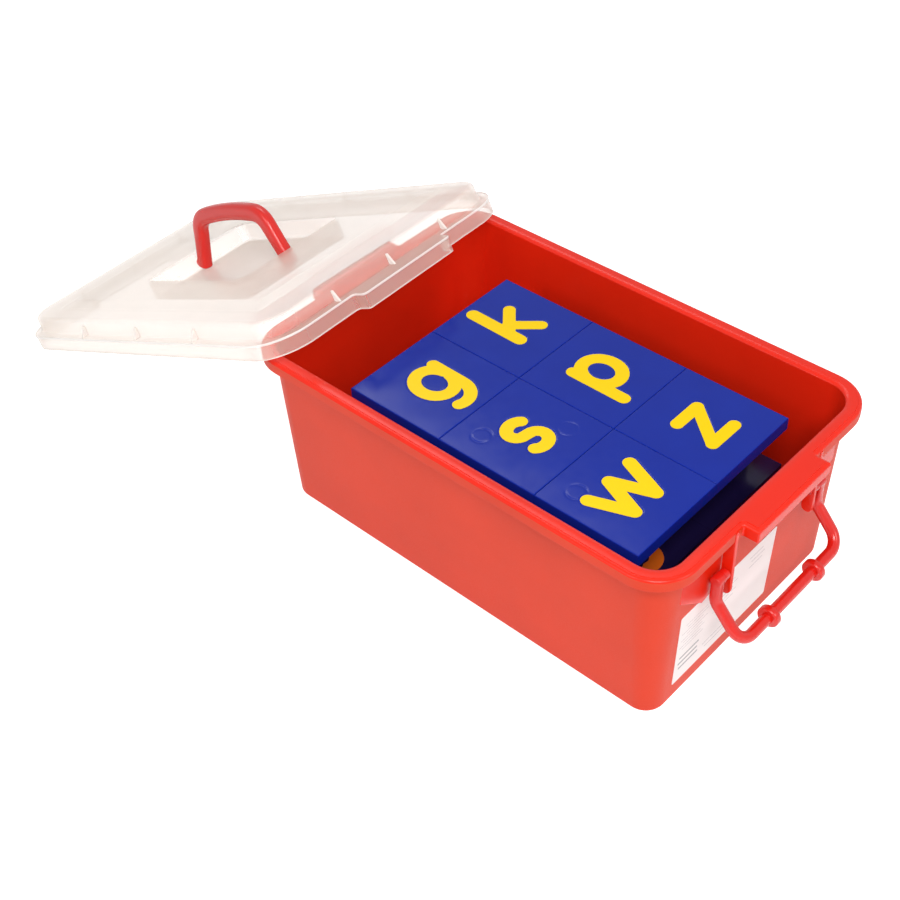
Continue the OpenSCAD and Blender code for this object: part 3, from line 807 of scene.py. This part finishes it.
def tileHeight(u, v, name):
    # the moulded face: slow ripples, rings left by the ejector pins, and a fine groove round the letter.
    # Under the letter the face drops out of sight
    t = tile
    seed, (first, second, third) = sum(map(ord, name)), t["waves"]
    wave = np.sin(u / first + seed) * np.cos(v / second + 2 * seed) + 0.6 * np.sin((u + v) / third + seed)
    z = t["ripple"] * (wave - 1.6)
    for mu, mv, strength in marks.get(name, []):
        # a round ridge as a bell curve of the distance from its circle, deeper on two sides
        far = (np.hypot(u - mu, v - mv) - t["mark"]) / t["markWidth"]
        angle = np.arctan2(v - mv, u - mu)
        z -= strength * t["markDeep"] * np.exp(-far ** 2) * (0.6 + 0.4 * np.cos(2 * angle))
    gap = np.full(u.shape, 1e9)
    for points, radius in letters[name]:
        gap = np.minimum(gap, strokeDistance(u, v, points, radius))
    z -= t["groove"] * np.exp(-(np.maximum(gap, 0) / t["grooveWidth"]) ** 2)
    return z - t["sunk"] * np.clip(-gap - t["sunkFrom"], 0, 1)


def tileShape(name, low, high):
    # a grid for the face, then rings from its edge round the corner and down to the base
    t = tile
    size, e = high[0] - low[0], t["edge"]
    n = round(size / t["spacing"])
    along = np.linspace(low[0] + e, high[0] - e, n + 1)
    across = np.linspace(low[1] + e, high[1] - e, n + 1)
    x, y = np.meshgrid(along, across, indexing="ij")
    cx, cy = (low[0] + high[0]) / 2, (low[1] + high[1]) / 2
    z = high[2] + tileHeight(y - cy, cx - x, name)
    index = np.arange((n + 1) ** 2).reshape(n + 1, n + 1)
    quads = np.stack([index[:-1, :-1], index[1:, :-1], index[1:, 1:], index[:-1, 1:]], -1).reshape(-1, 4)
    rim = np.concatenate([index[:-1, 0], index[-1, :-1], index[:0:-1, -1], index[0, :0:-1]])
    verts = np.stack([x, y, z], -1).reshape(-1, 3)
    edge = verts[rim]
    # outwards is one step along each axis on which the point is as far out as the grid goes
    offset = edge[:, :2] - [cx, cy]
    reach = (high[:2] - low[:2]) / 2 - e
    out = np.sign(offset) * (np.abs(np.abs(offset) - reach) < 1e-6)
    rings = []
    for a in np.radians([30, 60, 90]):
        down = e * (1 - math.cos(a))
        rings.append(np.column_stack([edge[:, :2] + out * e * math.sin(a), edge[:, 2] - down]))
    rings.append(np.column_stack([edge[:, :2] + out * e, np.full(len(edge), low[2] + e)]))
    rings.append(np.column_stack([edge[:, :2], np.full(len(edge), low[2])]))
    start, count = len(verts), len(rim)
    faces = quads.tolist()
    j = np.arange(count)
    k = (j + 1) % count
    faces += np.stack([rim[j], start + j, start + k, rim[k]], 1)[:, ::-1].tolist()
    verts = np.concatenate([verts] + rings)
    faces += loftFaces(len(rings), count, start)
    middle = len(verts)
    base = start + (len(rings) - 1) * count
    verts = np.vstack([verts, [cx, cy, low[2]]])
    faces += np.stack([base + j, base + k, np.full(count, middle)], 1).tolist()
    return verts, faces


for name in letters:
    low, high = [np.array(corner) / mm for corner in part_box("tile_" + name)]
    addPiece("letterTile." + name, tileShape(name, low, high), "tiles", [blue],
             replaces=["tile_" + name])
    print("tile", name, "made")


def finishNode(name, material, width):
    # a CAD node keeps its mesh: its loose triangles are welded and its sharp edges rounded by modifiers
    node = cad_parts[name]
    node.data.materials.clear()
    node.data.materials.append(material)
    weld = node.modifiers.new("weld", "WELD")
    weld.merge_threshold = 0.01 * mm
    bevel = node.modifiers.new("roundedEdges", "BEVEL")
    bevel.width = width * mm
    bevel.segments = 2
    bevel.limit_method = "ANGLE"
    bevel.angle_limit = math.radians(50)
    bevel.harden_normals = True


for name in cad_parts:
    if name.startswith("letter_"):
        finishNode(name, orange if name == "letter_j" else yellow, 0.2)
    # the riser and lower tiles get the darker blue, which paints in the shade below the top layer
    elif name.startswith(("riser", "lower")):
        finishNode(name, shadedBlue, 0.5)
print("lower tiles and letters finished")


# in metres, watts and degrees. Right, up and back are the camera's own axes
stage = dict(
    floor=6.0, floorColour=0.78, floorLift=0.75, world=0.3,
    cameraAt=(0.5033, -0.6164, 0.8004), lens=58.12,
    right=(0.73747, 0.67411, -0.04135), up=(-0.43393, 0.51984, 0.73585), back=(0.51753, -0.52473, 0.67589),
    lamps={"keySoftbox": dict(azimuth=-45, elevation=50, distance=1.6, size=0.6, power=17),
           "frontSoftbox": dict(azimuth=-98, elevation=38, distance=1.7, size=0.6, power=5),
           "endSoftbox": dict(azimuth=8, elevation=32, distance=1.7, size=0.6, power=5),
           "stripSoftbox": dict(azimuth=139, elevation=49, distance=1.49, size=0.75, width=0.13, power=1.8)})


def seenDirectly(tree):
    # 1 for rays from the camera, and for those that glossy and clear surfaces send on
    path = add(tree, "ShaderNodeLightPath")
    glossy = add(tree, "ShaderNodeMath", {"operation": "MAXIMUM"}, i0=path.outputs["Is Camera Ray"],
                 i1=path.outputs["Is Glossy Ray"])
    return add(tree, "ShaderNodeMath", {"operation": "MAXIMUM"}, i0=glossy.outputs["Value"],
               i1=path.outputs["Is Transmission Ray"]).outputs["Value"]


def makeWorld():
    world = bpy.data.worlds.new("studioWorld")
    bpy.context.scene.world = world
    world.use_nodes = True
    tree = world.node_tree
    light = tree.nodes["Background"]
    light.inputs["Color"].default_value = (1, 1, 1, 1)
    light.inputs["Strength"].default_value = stage["world"]
    seen = add(tree, "ShaderNodeBackground", Color=(1, 1, 1, 1), Strength=1.0)
    mix = add(tree, "ShaderNodeMixShader", i0=seenDirectly(tree), i1=light.outputs["Background"],
              i2=seen.outputs["Background"])
    tree.links.new(mix.outputs["Shader"], tree.nodes["World Output"].inputs["Surface"])


def makeFloor():
    half = stage["floor"] / 2
    mesh = bpy.data.meshes.new("floor")
    corners = [(-half, -half, 0), (half, -half, 0), (half, half, 0), (-half, half, 0)]
    mesh.from_pydata(corners, [], [(0, 1, 2, 3)])
    floor = bpy.data.objects.new("floor", mesh)
    bpy.context.scene.collection.objects.link(floor)
    material, tree, surface = newMaterial("paleFloor")
    surface.inputs["Base Color"].default_value = (*[stage["floorColour"]] * 3, 1)
    surface.inputs["Roughness"].default_value = 0.9
    surface.inputs["Emission Color"].default_value = (1, 1, 1, 1)
    lift = add(tree, "ShaderNodeMath", {"operation": "MULTIPLY"}, i0=seenDirectly(tree),
               i1=stage["floorLift"])
    tree.links.new(lift.outputs["Value"], surface.inputs["Emission Strength"])
    mesh.materials.append(material)


def softbox(name, azimuth, elevation, distance, size, power, width=None, target=(0, 0, 0.08)):
    # an area lamp that faces the object, its long side along the tub. Azimuth is counted from +X towards +Y
    a, e = math.radians(azimuth), math.radians(elevation)
    way = np.array([math.cos(a) * math.cos(e), math.sin(a) * math.cos(e), math.sin(e)])
    data = bpy.data.lights.new(name, "AREA")
    data.shape, data.size, data.size_y, data.energy = "RECTANGLE", size, width or size, power
    lamp = bpy.data.objects.new(name, data)
    bpy.context.scene.collection.objects.link(lamp)
    along = np.array([1.0, 0, 0]) - way[0] * way
    along /= np.linalg.norm(along)
    turn = Matrix([along, np.cross(way, along), way]).transposed().to_4x4()
    lamp.matrix_world = Matrix.Translation(np.array(target) + way * distance) @ turn


def makeCamera():
    data = bpy.data.cameras.new("camera")
    camera = bpy.data.objects.new("camera", data)
    bpy.context.scene.collection.objects.link(camera)
    data.lens, data.sensor_width = stage["lens"], 36
    data.clip_start, data.clip_end = 0.01, 20
    turn = Matrix([stage["right"], stage["up"], stage["back"]]).transposed().to_4x4()
    camera.matrix_world = Matrix.Translation(stage["cameraAt"]) @ turn
    bpy.context.scene.camera = camera


makeWorld()
makeFloor()
for name, lamp in stage["lamps"].items():
    softbox(name, **lamp)
makeCamera()
bpy.context.scene.view_settings.view_transform = "Standard"
print("studio made")
